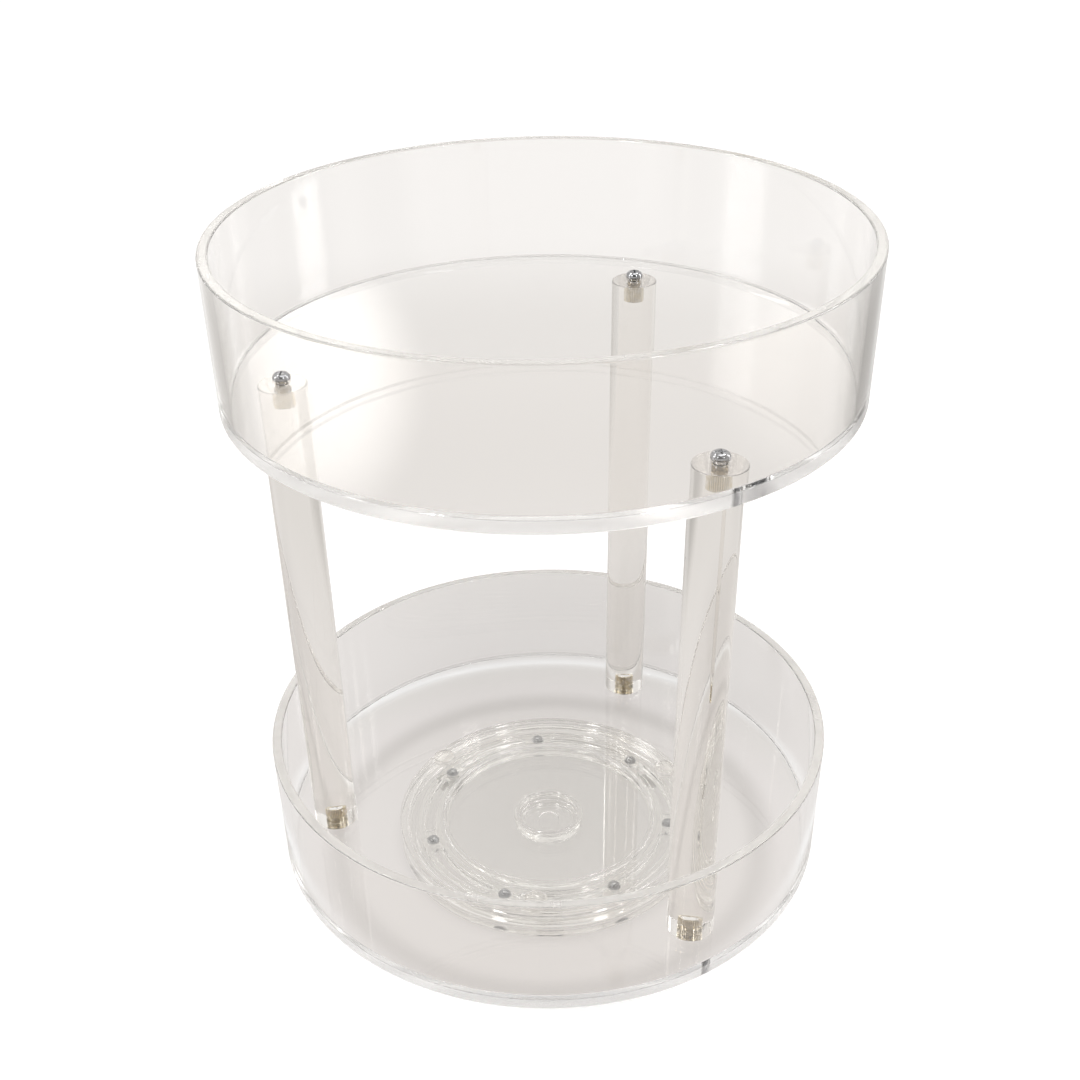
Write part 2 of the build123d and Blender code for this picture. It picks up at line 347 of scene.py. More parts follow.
def window_line(start, end, steps=36, end_steps=12):
    """The outline of a curved window: out along its outer arc, round a half circle, back along the inner arc,
    and round another half circle."""
    turn = np.linspace(start, end, steps)
    outer = (BALL_CIRCLE + WINDOW_HALF) * np.stack([np.cos(turn), np.sin(turn)], axis=1)
    inner = (BALL_CIRCLE - WINDOW_HALF) * np.stack([np.cos(turn[::-1]), np.sin(turn[::-1])], axis=1)
    bend = np.linspace(0, np.pi, end_steps + 1, endpoint=False)[1:]
    far = BALL_CIRCLE * np.array([math.cos(end), math.sin(end)])
    near = BALL_CIRCLE * np.array([math.cos(start), math.sin(start)])
    far_end = far + WINDOW_HALF * np.stack([np.cos(end + bend), np.sin(end + bend)], axis=1)
    near_bend = start + np.pi + bend
    near_end = near + WINDOW_HALF * np.stack([np.cos(near_bend), np.sin(near_bend)], axis=1)
    return np.concatenate([outer, far_end, inner, near_end])


cage_curve = bpy.data.curves.new("cage_outline", "CURVE")
cage_curve.dimensions = "2D"
cage_curve.fill_mode = "BOTH"
cage_curve.extrude = (CAGE_THICK / 2 - CAGE_EASE) * MM
cage_curve.bevel_depth = CAGE_EASE * MM
cage_curve.bevel_resolution = 2
cage_curve.offset = -CAGE_EASE * MM
loop_line(cage_curve, circle((BALL_CIRCLE + CAGE_HALF) * MM, TURN_STEPS))
loop_line(cage_curve, circle((BALL_CIRCLE - CAGE_HALF) * MM, TURN_STEPS))
ball_turns = np.radians(FIRST_BALL + np.arange(BALL_COUNT) * 360 / BALL_COUNT)
ball_places = BALL_CIRCLE * MM * np.stack([np.cos(ball_turns), np.sin(ball_turns)], axis=1)
window_trim = (POCKET + WINDOW_TO_POCKET + WINDOW_HALF) / BALL_CIRCLE
for turn, spot in zip(ball_turns, ball_places):
    loop_line(cage_curve, circle(POCKET * MM, POCKET_STEPS, spot))
    loop_line(cage_curve, window_line(turn + window_trim, turn + 2 * np.pi / BALL_COUNT - window_trim) * MM)
cage_form = bpy.data.objects.new("cage_form", cage_curve)
bpy.context.scene.collection.objects.link(cage_form)
cage_mesh = bpy.data.meshes.new_from_object(cage_form)
cage_mesh.transform(Matrix.Translation((0, 0, BALL_LEVEL * MM)))
bpy.data.objects.remove(cage_form)
cage = bpy.data.objects.new("ball_cage_moulding", cage_mesh)
bpy.context.scene.collection.objects.link(cage)
weld = cage.modifiers.new("weld", "WELD")
weld.merge_threshold = SEAM_WIDTH * MM
welded = bpy.data.meshes.new_from_object(cage.evaluated_get(bpy.context.evaluated_depsgraph_get()))
cage.modifiers.clear()
cage.data = welded
cage.data.materials.clear()
cage.data.shade_smooth()
cage.data.set_sharp_from_angle(angle=SHARP_ANGLE)
fitted(cage, styrene, "cage", "clear_moulding", "ball_cage")


# Bearing balls: seven ground and polished steel balls that roll between the base plate's groove and the top
# plate's flat race. They carry the whole weight, so they are lightly burnished.
BALL_RADIUS = 3.175
BALL_RINGS = 40

# Ground and polished steel: a small hard mirror, broken a little where it has been rolled on.
ball_steel, tree, output = new_finish("polished_bearing_steel")
place = add(tree, "ShaderNodeTexCoord").outputs["Object"]
burnish = add(tree, "ShaderNodeTexNoise", {"Vector": place, "Scale": 1 / (0.8 * MM), "Detail": 3.0})
shine = add(tree, "ShaderNodeMapRange", {"Value": burnish.outputs["Fac"], "To Min": 0.02, "To Max": 0.1})
steel = add(tree, "ShaderNodeBsdfPrincipled", {
    "Base Color": linear("#9FA0A3"), "Metallic": 1.0, "Roughness": shine.outputs["Result"]})
tree.links.new(steel.outputs["BSDF"], output.inputs["Surface"])

latitude = np.linspace(-np.pi / 2, np.pi / 2, BALL_RINGS + 1)
ball_profile = BALL_RADIUS * np.stack([np.cos(latitude), np.sin(latitude)], axis=1)
ball_profile[:, 1] += BALL_LEVEL
ball_profile[[0, -1], 0] = 0
for number in range(1, BALL_COUNT + 1):
    name = f"bearing_ball_{number}"
    ball = shaped("steel_ball_" + str(number), turned(ball_profile, middle_of(name), steps=2 * BALL_RINGS))
    fitted(ball, ball_steel, "cage", "ball_steel", name)


# Bearing top plate: the second styrene moulding. Its flat outer ring runs on the balls, with a skirt at the
# rim that meets the base's skirt, and steps down inside to a lower web, with a hole in its middle.
plate_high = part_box("bearing_top_plate")[1].z / MM
TOP_RING = 3.0
RACE_ROOF = plate_high - TOP_RING
TOP_SKIRT = BALL_LEVEL + HALF_SKIRT_GAP
TOP_WEB = TOP_SKIRT + WEB
STEP_INSIDE = 55.25
HUB_HOLE = 17.8
SHOULDER_EASE = 1.0
STEP_EASE = 0.6
HOLE_EASE = 0.3
TOP_STEPS = 900
top_profile = eased([
    (HUB_HOLE, TOP_SKIRT, HOLE_EASE),
    (RACE_INSIDE, TOP_SKIRT, STEP_EASE),
    (RACE_INSIDE, RACE_ROOF, STEP_EASE),
    (SKIRT_INSIDE, RACE_ROOF, ROOT_EASE),
    (SKIRT_INSIDE, TOP_SKIRT, LAND_EASE),
    (PLATE_RADIUS, TOP_SKIRT, LAND_EASE),
    (PLATE_RADIUS, plate_high, SHOULDER_EASE),
    (STEP_INSIDE, plate_high, STEP_EASE),
    (STEP_INSIDE, TOP_WEB, ROOT_EASE),
    (HUB_HOLE, TOP_WEB, HOLE_EASE),
], closed=True)
top_plate = shaped("bearing_top_moulding", turned(top_profile, closed=True, steps=TOP_STEPS))
fitted(top_plate, styrene, "turntable", "clear_moulding", "bearing_top_plate")


# Hub cap: a styrene cup plugged and bonded on the hub. Its flange reaches over the top plate's web and keeps
# it from lifting, and the small dimple in its floor is where the mould was fed.
cap_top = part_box("hub_cap")[1].z / MM
CAP_RADIUS = 18.6
CUP_INSIDE = 15.6
PLUG_LENGTH = 1.6
PLUG_ROOM = 0.06
FLANGE = 0.9
CUP_BOTTOM = 1.4
SEAT_FILM = 0.04
DIMPLE_RADIUS = 5.5
DIMPLE_SLOPE = 0.3
DIMPLE_DEPTH = 0.5
PLUG_EASE = 0.3
SEAT_EASE = 0.1
NECK_EASE = 0.15
FLANGE_EASE = 0.2
RIM_OUT_EASE = 0.35
RIM_IN_EASE = 0.5
CUP_ROOT_EASE = 0.9
DIMPLE_EASE = 0.25
PLUG_RADIUS = HUB_BORE - PLUG_ROOM
FLANGE_LOW = cap_top - FLANGE
CUP_FLOOR = HUB_TOP + CUP_BOTTOM
CUP_SEAT = HUB_TOP + SEAT_FILM
cap_profile = eased([
    (0, HUB_TOP - PLUG_LENGTH, 0),
    (PLUG_RADIUS, HUB_TOP - PLUG_LENGTH, PLUG_EASE),
    (PLUG_RADIUS, CUP_SEAT, 0),
    (HUB_RADIUS, CUP_SEAT, SEAT_EASE),
    (HUB_RADIUS, FLANGE_LOW, NECK_EASE),
    (CAP_RADIUS, FLANGE_LOW, FLANGE_EASE),
    (CAP_RADIUS, cap_top, RIM_OUT_EASE),
    (CUP_INSIDE, cap_top, RIM_IN_EASE),
    (CUP_INSIDE, CUP_FLOOR, CUP_ROOT_EASE),
    (DIMPLE_RADIUS, CUP_FLOOR, DIMPLE_EASE),
    (DIMPLE_RADIUS - DIMPLE_SLOPE, CUP_FLOOR - DIMPLE_DEPTH, DIMPLE_EASE),
    (0, CUP_FLOOR - DIMPLE_DEPTH, 0),
])
hub_cap = shaped("hub_cap_moulding", turned(cap_profile))
fitted(hub_cap, styrene, "base", "clear_moulding", "hub_cap")


# Bond pads: three thick round pads of clear double-sided gel between the bearing and the underside of the
# lower tray. They are cast with rounded edges, and hold the bearing by themselves.
PAD_RADIUS = 6.0
PAD_EASE = 0.8
PAD_FILM = 0.03

# Cast acrylic gel: clear and soft, with pinhead bubbles that scatter the light a little.
gel, tree, output = new_finish("clear_acrylic_gel")
place = add(tree, "ShaderNodeTexCoord").outputs["Object"]
bubbles = add(tree, "ShaderNodeTexVoronoi", {"Vector": place, "Scale": 1 / (1.2 * MM)})
milky = add(tree, "ShaderNodeMapRange", {
    "Value": bubbles.outputs["Distance"], "From Max": 0.25, "To Min": 0.12, "To Max": 0.0})
soft = add(tree, "ShaderNodeBsdfPrincipled", {
    "Base Color": linear("#FDFCFA"), "IOR": 1.47, "Transmission Weight": 1.0,
    "Roughness": milky.outputs["Result"]})
tree.links.new(soft.outputs["BSDF"], output.inputs["Surface"])

pad_low, pad_high = (corner.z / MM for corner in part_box("bond_pad_1"))
pad_profile = eased([
    (0, pad_low + PAD_FILM, 0),
    (PAD_RADIUS, pad_low + PAD_FILM, PAD_EASE),
    (PAD_RADIUS, pad_high - PAD_FILM, PAD_EASE),
    (0, pad_high - PAD_FILM, 0),
])
for number in (1, 2, 3):
    name = f"bond_pad_{number}"
    pad = shaped("gel_pad_" + str(number), turned(pad_profile, middle_of(name), steps=SMALL_STEPS))
    fitted(pad, gel, "turntable", "bond_pad", name)


# Trays: a sawn disc of cast acrylic with a ring of acrylic tube solvent-welded upright on its edge.
# A weld has no air in it, so each tray is one clear body here, with a fine line where the two pieces meet.
TRAY_RADIUS = 140.0
TRAY_STEPS = 960
WALL = 4.7
RIM_EASE = 0.8
DISC_EASE = 0.5
WELD_GROOVE = 0.12
HALF_WELD = 0.15
WELD_EDGE_EASE = 0.06
WELD_ROOT_EASE = 0.05
WELD_BEAD = 0.6
HOLE_RADIUS = 2.25
HOLE_STEPS = 48
SAWN_IN = 0.7
SAWN_BELOW_WELD = 0.2
RIM_BAND = 0.3

# Cast acrylic, polished: clear and hard, with faint wipe marks and the slight waviness of a cast sheet.
acrylic, tree, output = new_finish("cast_clear_acrylic")
place = add(tree, "ShaderNodeTexCoord").outputs["Object"]
wipes = add(tree, "ShaderNodeTexNoise", {
    "Vector": place, "Scale": 1 / (35 * MM), "Detail": 5.0, "Roughness": 0.6})
smear = add(tree, "ShaderNodeMapRange", {
    "Value": wipes.outputs["Fac"], "From Min": 0.45, "From Max": 0.75, "To Min": 0.0, "To Max": 0.04})
waves = add(tree, "ShaderNodeTexNoise", {"Vector": place, "Scale": 1 / (50 * MM), "Detail": 1.0})
wavy = add(tree, "ShaderNodeBump", {"Height": waves.outputs["Fac"], "Strength": 0.3, "Distance": 0.1 * MM})
clear = add(tree, "ShaderNodeBsdfPrincipled", {
    "Base Color": linear("#FDFCFB"), "IOR": 1.49, "Transmission Weight": 1.0,
    "Roughness": smear.outputs["Result"], "Normal": wavy.outputs["Normal"]})
tree.links.new(clear.outputs["BSDF"], output.inputs["Surface"])

# The same acrylic where a saw and a buffing wheel have passed: fine upright tool marks and a light haze.
sawn, tree, output = new_finish("sawn_acrylic_edge")
place = add(tree, "ShaderNodeTexCoord").outputs["Object"]
upright = add(tree, "ShaderNodeMapping", {
    "Vector": place, "Scale": (1 / (2 * MM), 1 / (2 * MM), 1 / (60 * MM))})
marks = add(tree, "ShaderNodeTexNoise", {"Vector": upright.outputs["Vector"], "Scale": 1.0, "Detail": 3.0})
haze = add(tree, "ShaderNodeMapRange", {"Value": marks.outputs["Fac"], "To Min": 0.05, "To Max": 0.22})
score = add(tree, "ShaderNodeBump", {"Height": marks.outputs["Fac"], "Strength": 0.15, "Distance": 0.06 * MM})
clear = add(tree, "ShaderNodeBsdfPrincipled", {
    "Base Color": linear("#FDFCFB"), "IOR": 1.49, "Transmission Weight": 0.8,
    "Roughness": haze.outputs["Result"], "Normal": score.outputs["Normal"]})
tree.links.new(clear.outputs["BSDF"], output.inputs["Surface"])

# And again on the rim of the wall, flame-polished after the cut: smooth, and a little milky from the heat.
flamed, tree, output = new_finish("polished_acrylic_rim")
place = add(tree, "ShaderNodeTexCoord").outputs["Object"]
cloud = add(tree, "ShaderNodeTexNoise", {"Vector": place, "Scale": 1 / (18 * MM), "Detail": 3.0})
haze = add(tree, "ShaderNodeMapRange", {"Value": cloud.outputs["Fac"], "To Min": 0.06, "To Max": 0.26})
milky = add(tree, "ShaderNodeMapRange", {"Value": cloud.outputs["Fac"], "To Min": 0.8, "To Max": 0.6})
clear = add(tree, "ShaderNodeBsdfPrincipled", {
    "Base Color": linear("#FBF9F5"), "IOR": 1.49, "Transmission Weight": milky.outputs["Result"],
    "Roughness": haze.outputs["Result"]})
tree.links.new(clear.outputs["BSDF"], output.inputs["Surface"])

post_names = ["post_rear", "post_left", "post_right"]
for tier in ("lower", "upper"):
    floor_low, floor_high = (corner.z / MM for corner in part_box(f"{tier}_tray_floor"))
    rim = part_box(f"{tier}_tray_wall")[1].z / MM
    tray_profile = eased([
        (0, floor_low, 0),
        (TRAY_RADIUS, floor_low, DISC_EASE),
        (TRAY_RADIUS, floor_high - HALF_WELD, WELD_EDGE_EASE),
        (TRAY_RADIUS - WELD_GROOVE, floor_high, WELD_ROOT_EASE),
        (TRAY_RADIUS, floor_high + HALF_WELD, WELD_EDGE_EASE),
        (TRAY_RADIUS, rim, RIM_EASE),
        (TRAY_RADIUS - WALL, rim, RIM_EASE),
        (TRAY_RADIUS - WALL, floor_high, WELD_BEAD),
        (0, floor_high, 0),
    ])
    tray = shaped(f"{tier}_tray", turned(tray_profile, steps=TRAY_STEPS))
    hole_profile = np.array([
        (0, floor_low - CUT_OVER), (HOLE_RADIUS, floor_low - CUT_OVER),
        (HOLE_RADIUS, floor_high + CUT_OVER), (0, floor_high + CUT_OVER)])
    cut(tray, gathered([turned(hole_profile, middle_of(name), steps=HOLE_STEPS) for name in post_names]))
    fitted(tray, acrylic, "turntable", "clear_acrylic", f"{tier}_tray_floor", f"{tier}_tray_wall")
    tray.data.materials.append(sawn)
    tray.data.materials.append(flamed)
    centres = np.empty(len(tray.data.polygons) * 3)
    tray.data.polygons.foreach_get("center", centres)
    x, y, z = centres.reshape(-1, 3).T
    disc_edge = (np.hypot(x, y) > (TRAY_RADIUS - SAWN_IN) * MM) & (z < (floor_high - SAWN_BELOW_WELD) * MM)
    rim_top = z > (rim - RIM_BAND) * MM
    finish_numbers = np.where(rim_top, 2, np.where(disc_edge, 1, 0)).astype(np.int32)
    tray.data.polygons.foreach_set("material_index", finish_numbers)


# Posts: three lengths of extruded acrylic rod, faced and lightly chamfered, drilled at both ends for inserts.
# They stand between the two floors with a film of air at each end, as screwed joints do.
POST_EASE = 0.4
POST_STEPS = 400
DRILL = 2.7
DRILL_DEPTH = 9.3
DRILL_EASE = 0.1
END_FILM = 0.04

# Extruded acrylic rod: the same plastic, a little less white for its thick section, with faint drawn lines.
rod_acrylic, tree, output = new_finish("extruded_acrylic_rod")
place = add(tree, "ShaderNodeTexCoord").outputs["Object"]
drawn = add(tree, "ShaderNodeMapping", {
    "Vector": place, "Scale": (1 / (3 * MM), 1 / (3 * MM), 1 / (120 * MM))})
lines = add(tree, "ShaderNodeTexNoise", {"Vector": drawn.outputs["Vector"], "Scale": 1.0, "Detail": 2.0})
smear = add(tree, "ShaderNodeMapRange", {
    "Value": lines.outputs["Fac"], "From Min": 0.4, "From Max": 0.7, "To Min": 0.0, "To Max": 0.03})
clear = add(tree, "ShaderNodeBsdfPrincipled", {
    "Base Color": linear("#F7F5F2"), "IOR": 1.49, "Transmission Weight": 1.0,
    "Roughness": smear.outputs["Result"]})
tree.links.new(clear.outputs["BSDF"], output.inputs["Surface"])

for name in post_names:
    low, high = (corner.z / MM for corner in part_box(name))
    post_radius = (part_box(name)[1].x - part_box(name)[0].x) / 2 / MM
    post_profile = eased([
        (0, low + DRILL_DEPTH, 0),
        (DRILL, low + DRILL_DEPTH, DRILL_EASE),
        (DRILL, low + END_FILM, 0),
        (post_radius, low + END_FILM, POST_EASE),
        (post_radius, high - END_FILM, POST_EASE),
        (DRILL, high - END_FILM, 0),
        (DRILL, high - DRILL_DEPTH, DRILL_EASE),
        (0, high - DRILL_DEPTH, 0),
    ])
    post = shaped("acrylic_" + name, turned(post_profile, middle_of(name), steps=POST_STEPS))
    fitted(post, rod_acrylic, "turntable", "clear_acrylic", name)


# Inserts: knurled brass bushes with a dull nickel plate, pressed into the ends of the rods.
# Fine straight ribs from end to end bite into the acrylic.
INSERT_RADIUS = 3.15
INSERT_LENGTH = 9.5
INSERT_BORE = 2.05
INSERT_CHAMFER = 0.3
RIB_COUNT = 30
RIB_DEPTH = 0.36
RIB_RUN_OUT = 0.5
RIB_STEPS = 8
RIB_SLOPE = 2.2
RIB_VALLEY = 0.5

# Worn nickel over brass: silver on the crests, warmer where the plate is thin, and painted shade in the
# valleys.
nickel, tree, output = new_finish("nickel_plated_brass")
place = add(tree, "ShaderNodeTexCoord").outputs["Object"]
wear = add(tree, "ShaderNodeTexNoise", {"Vector": place, "Scale": 1 / (1.1 * MM), "Detail": 4.0})
tone = add(tree, "ShaderNodeValToRGB", {"Fac": wear.outputs["Fac"]})
tone.color_ramp.elements[0].position, tone.color_ramp.elements[1].position = 0.4, 0.6
tone.color_ramp.elements[0].color = linear("#E3D7B9")
tone.color_ramp.elements[1].color = linear("#F6F3EE")
# The valleys' darker colour is painted shade, laid on by each point's height on its rib.
valley_shade_mask = add(tree, "ShaderNodeAttribute", attribute_name="rib_height")
plate_tone_with_valley_shade = add(tree, "ShaderNodeMix", {
    0: valley_shade_mask.outputs["Fac"], 6: linear("#BDB29B"), 7: tone.outputs["Color"]}, data_type="RGBA")
dull = add(tree, "ShaderNodeMapRange", {"Value": wear.outputs["Fac"], "To Min": 0.1, "To Max": 0.28})
plate = add(tree, "ShaderNodeBsdfPrincipled", {
    "Base Color": plate_tone_with_valley_shade.outputs[2], "Metallic": 1.0, "Roughness": dull.outputs["Result"]})
tree.links.new(plate.outputs["BSDF"], output.inputs["Surface"])


def insert_form():
    """One insert, upright from height nought. Outside, radius = full size less a clipped triangle wave of the
    angle with RIB_COUNT teeth, faded out at both ends; then in over the top, down the bore and out below.
    With it goes each point's height on its rib, from nought in a valley to one on a crest."""
    columns = RIB_COUNT * RIB_STEPS
    phase = np.arange(columns) / RIB_STEPS % 1
    tooth = np.clip(RIB_SLOPE * np.abs(2 * phase - 1) - RIB_VALLEY, 0, 1)
    fade = np.array([0.0, 0.5, 1.0])
    up = np.concatenate([RIB_RUN_OUT * fade, INSERT_LENGTH - RIB_RUN_OUT * fade[::-1]])
    rib = np.concatenate([fade, fade[::-1]])
    lead = INSERT_CHAMFER * np.array([1, 0, 0, 0, 0, 1])
    outer = INSERT_RADIUS - lead[:, None] - RIB_DEPTH * rib[:, None] * (1 - tooth)
    bore = INSERT_BORE + INSERT_CHAMFER * np.array([1, 0, 0, 1])
    bore_up = np.array([INSERT_LENGTH, INSERT_LENGTH - INSERT_CHAMFER, INSERT_CHAMFER, 0])
    radius = np.concatenate([outer, bore[:, None] * np.ones(columns)])
    height = np.concatenate([up, bore_up])[:, None] * np.ones(columns)
    crests = np.concatenate([1 - rib[:, None] * (1 - tooth), np.ones((len(bore), columns))])
    return ringed(radius * MM, height * MM, closed=True), crests.ravel()


def stood(shape, centre, level, upside_down=False):
    """A shape moved to a place. Upside down, it is turned half round about x, which keeps its hand."""
    points, quads, tris = shape
    points = points * np.array([1, -1, -1]) if upside_down else points
    return points + np.array([*centre, level]), quads, tris


form, crests = insert_form()
for tier, corner, flipped in (("lower", 0, False), ("upper", 1, True)):
    group = [stood(form, middle_of(name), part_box(name)[corner].z, flipped) for name in post_names]
    inserts = shaped(f"{tier}_knurled_inserts", gathered(group))
    rib_height = inserts.data.attributes.new("rib_height", "FLOAT", "POINT")
    rib_height.data.foreach_set("value", np.tile(crests, len(group)))
    fitted(inserts, nickel, "turntable", "insert_metal", f"{tier}_inserts")


# Screws: M4 pan-head machine screws with a cross recess, bright nickel-chrome over steel.
# Three go down through the upper floor and three up through the lower floor, into the inserts.
HEAD_RADIUS = 4.0
HEAD_HEIGHT = 2.8
HEAD_ROUND = 2.2
HEAD_EDGE = 0.12
ROUND_SWING = math.radians(62)
LAND_SHARES = (0.35, 0.7, 0.93)
CROSS_ARM = 2.2
CROSS_HALF = 0.5
CROSS_DEPTH = 1.5
CROSS_POINT = 0.15
CROSS_BOTTOM = 0.1
LIP_SHARE = 0.96
LIP_DEPTH = 0.08
FOOT_SHARE = 0.62
FLAT_SHARE = 0.5
THREAD_RADIUS = 2.0
THREAD_ROOM = 0.02
THREAD_DEPTH = 0.38
THREAD_PITCH = 0.7
CREST_WIDTH = 1.25
THREAD_END = -0.4
RUN_IN = 1.0
RUN_OUT = 0.6
NECK_END = -0.2
SHANK = 14.0
SHANK_TAPER = 0.7
HEAD_FILM = 0.02

# Bright nickel-chrome over steel: a hard, bluish mirror with the faint haze of plating.
chrome, tree, output = new_finish("bright_nickel_chrome")
place = add(tree, "ShaderNodeTexCoord").outputs["Object"]
haze = add(tree, "ShaderNodeTexNoise", {"Vector": place, "Scale": 1 / (0.9 * MM), "Detail": 3.0})
shine = add(tree, "ShaderNodeMapRange", {"Value": haze.outputs["Fac"], "To Min": 0.03, "To Max": 0.12})
plate = add(tree, "ShaderNodeBsdfPrincipled", {
    "Base Color": linear("#A8A9AC"), "Metallic": 1.0, "Roughness": shine.outputs["Result"]})
tree.links.new(plate.outputs["BSDF"], output.inputs["Surface"])


def screw_form(columns=96, rows_per_pitch=6):
    """One screw, head up, with its seat at height nought. The shank is a helix: radius = full size less the
    depth times a triangle wave of height / pitch - angle. The head's rings go from the seat over the round
    rim to the mouth of the recess, whose ring is a cross, and down in it as smaller crosses to a point."""
    turn = np.linspace(0, 2 * np.pi, columns, endpoint=False)
    ones = np.ones(columns)
    up = np.linspace(-SHANK, THREAD_END, int(SHANK / THREAD_PITCH * rows_per_pitch))[:, None] * ones
    wave = np.abs((up / THREAD_PITCH - turn / (2 * np.pi)) % 1 * 2 - 1)
    fade = np.clip(np.minimum((up + SHANK) / RUN_IN, (THREAD_END - up) / RUN_OUT), 0, 1)
    tooth = np.clip(CREST_WIDTH * wave, 0, 1)
    thread = THREAD_RADIUS - THREAD_ROOM - THREAD_DEPTH * (1 - fade * tooth)
    arm = (turn + np.pi / 4) % (np.pi / 2) - np.pi / 4
    cross = np.minimum(CROSS_ARM / np.cos(arm), CROSS_HALF / np.maximum(np.abs(np.sin(arm)), TINY))

    def crown(radius):
        """The height of the head's outside at a radius: flat in the middle, then a quarter round."""
        over = np.clip(radius - (HEAD_RADIUS - HEAD_ROUND), 0, HEAD_ROUND)
        return HEAD_HEIGHT - HEAD_ROUND + np.sqrt(HEAD_ROUND ** 2 - over ** 2)

    def rings(radii, heights):
        """Plain rings of those radii at those heights."""
        return [(radius * ones, height * ones) for radius, height in zip(radii, heights)]

    end = rings((0, THREAD_RADIUS - SHANK_TAPER), (-SHANK, -SHANK))
    under = rings((THREAD_RADIUS, THREAD_RADIUS, HEAD_RADIUS - HEAD_EDGE, HEAD_RADIUS),
                  (NECK_END, HEAD_FILM, HEAD_FILM, HEAD_FILM + HEAD_EDGE))
    swing = np.linspace(0, ROUND_SWING, 9)
    rim = rings(HEAD_RADIUS - HEAD_ROUND * (1 - np.cos(swing)),
                HEAD_HEIGHT - HEAD_ROUND * (1 - np.sin(swing)))
    edge = rim[-1][0]
    land_rings = [edge + (cross - edge) * share for share in LAND_SHARES]
    lands = [(ring, crown(ring)) for ring in land_rings]
    mouth = [(cross, crown(cross)), (cross * LIP_SHARE, crown(cross) - LIP_DEPTH)]
    depth = HEAD_HEIGHT - CROSS_DEPTH
    inside = [(cross * FOOT_SHARE, (depth + CROSS_BOTTOM) * ones), (cross * FLAT_SHARE, depth * ones),
              (0 * ones, (depth - CROSS_POINT) * ones)]
    rows = under + rim + lands + mouth + inside
    radius = np.concatenate([[r for r, _ in end], thread, [r for r, _ in rows]])
    height = np.concatenate([[h for _, h in end], up, [h for _, h in rows]])
    return ringed(radius * MM, height * MM)


form = screw_form()
for tier, corner, flipped in (("lower", 0, True), ("upper", 1, False)):
    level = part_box(f"{tier}_tray_floor")[corner].z
    group = [stood(form, middle_of(name), level, flipped) for name in post_names]
    screws = shaped(f"{tier}_pan_head_screws", gathered(group))
    fitted(screws, chrome, "turntable", "screw_chrome", f"{tier}_screws")


# The studio: a matt white table under a pale dome, laid twice. The camera sees the white one, and what is
# clear or bright sees a second one in pale grey, with shade painted on it towards the turntable and behind it,
# as a real table is shaded by the thing that stands on it. All of this is stage, and no part of the turntable.
TABLE_HALF = 12.0
TABLE_GLOW = 0.82
AXIS = (0.0, 0.0, 0.0)
SHADE_MIDDLE = (0.02, 0.15, 0.0)
SHADE_INSIDE = 0.05
SHADE_OUTSIDE = 0.2
SHADE_DIMMED = 0.88

# Matt white paper with a fine grain, lit a little from within so that it stays white all over.
paper, tree, output = new_finish("matt_white_table")
place = add(tree, "ShaderNodeTexCoord").outputs["Object"]
grain = add(tree, "ShaderNodeTexNoise", {"Vector": place, "Scale": 1 / (4 * MM), "Detail": 3.0})
tone = add(tree, "ShaderNodeValToRGB", {"Fac": grain.outputs["Fac"]})
tone.color_ramp.elements[0].color = linear("#A6A5A4")
tone.color_ramp.elements[1].color = linear("#AAA9A8")
matt = add(tree, "ShaderNodeBsdfPrincipled", {
    "Base Color": tone.outputs["Color"], "Roughness": 0.9, "Specular IOR Level": 0.1,
    "Emission Color": linear("#FFFFFF"), "Emission Strength": TABLE_GLOW})
tree.links.new(matt.outputs["BSDF"], output.inputs["Surface"])

# The same paper with painted shade: rings, whose stops are metres from the axis, and a painted shadow behind.
shaded, tree, output = new_finish("shaded_table")
place = add(tree, "ShaderNodeTexCoord").outputs["Object"]
apart = add(tree, "ShaderNodeVectorMath", {0: place, 1: AXIS}, operation="DISTANCE")
tone = add(tree, "ShaderNodeValToRGB", {"Fac": apart.outputs["Value"]})
tone.color_ramp.interpolation = "EASE"
tone.color_ramp.elements[0].color = linear("#C6C2BF")
tone.color_ramp.elements[1].color = linear("#FBF9F7")
# Painted shade under the bearing and in a ring inside the wall; the white stop is a ring of painted light.
painted_light_and_shade_rings = [
    (0.072, "#CAC6C3"), (0.086, "#E2DEDB"), (0.103, "#E3DFDC"), (0.114, "#D2CECB"), (0.127, "#E6E2E0"),
    (0.15, "#E3E0DD"), (0.157, "#FFFFFF"), (0.163, "#E9E6E4"), (0.2, "#EBE8E6"), (0.45, "#E6E3E0"),
    (0.7, "#EAE7E4")]
for stop, colour in painted_light_and_shade_rings:
    tone.color_ramp.elements.new(stop).color = linear(colour)
from_shade = add(tree, "ShaderNodeVectorMath", {0: place, 1: SHADE_MIDDLE}, operation="DISTANCE")
# A soft painted shadow behind the turntable, dimming the glow around SHADE_MIDDLE.
painted_shadow_behind = add(tree, "ShaderNodeMapRange", {
    "Value": from_shade.outputs["Value"], "From Min": SHADE_INSIDE, "From Max": SHADE_OUTSIDE,
    "To Min": SHADE_DIMMED}, interpolation_type="SMOOTHSTEP")
glow = add(tree, "ShaderNodeEmission", {"Color": tone.outputs["Color"], "Strength": painted_shadow_behind.outputs["Result"]})
tree.links.new(glow.outputs["Emission"], output.inputs["Surface"])

for name, finish, for_camera in (("table", paper, True), ("table_in_shade", shaded, False)):
    table_mesh = bpy.data.meshes.new(name)
    table_mesh.from_pydata([(-TABLE_HALF, -TABLE_HALF, 0), (TABLE_HALF, -TABLE_HALF, 0),
                            (TABLE_HALF, TABLE_HALF, 0), (-TABLE_HALF, TABLE_HALF, 0)], [], [(0, 1, 2, 3)])
    table_mesh.materials.append(finish)
    table = bpy.data.objects.new(name, table_mesh)
    table.visible_camera = table.visible_diffuse = for_camera
    table.visible_glossy = table.visible_transmission = not for_camera
    table.visible_shadow = False
    bpy.context.scene.collection.objects.link(table)

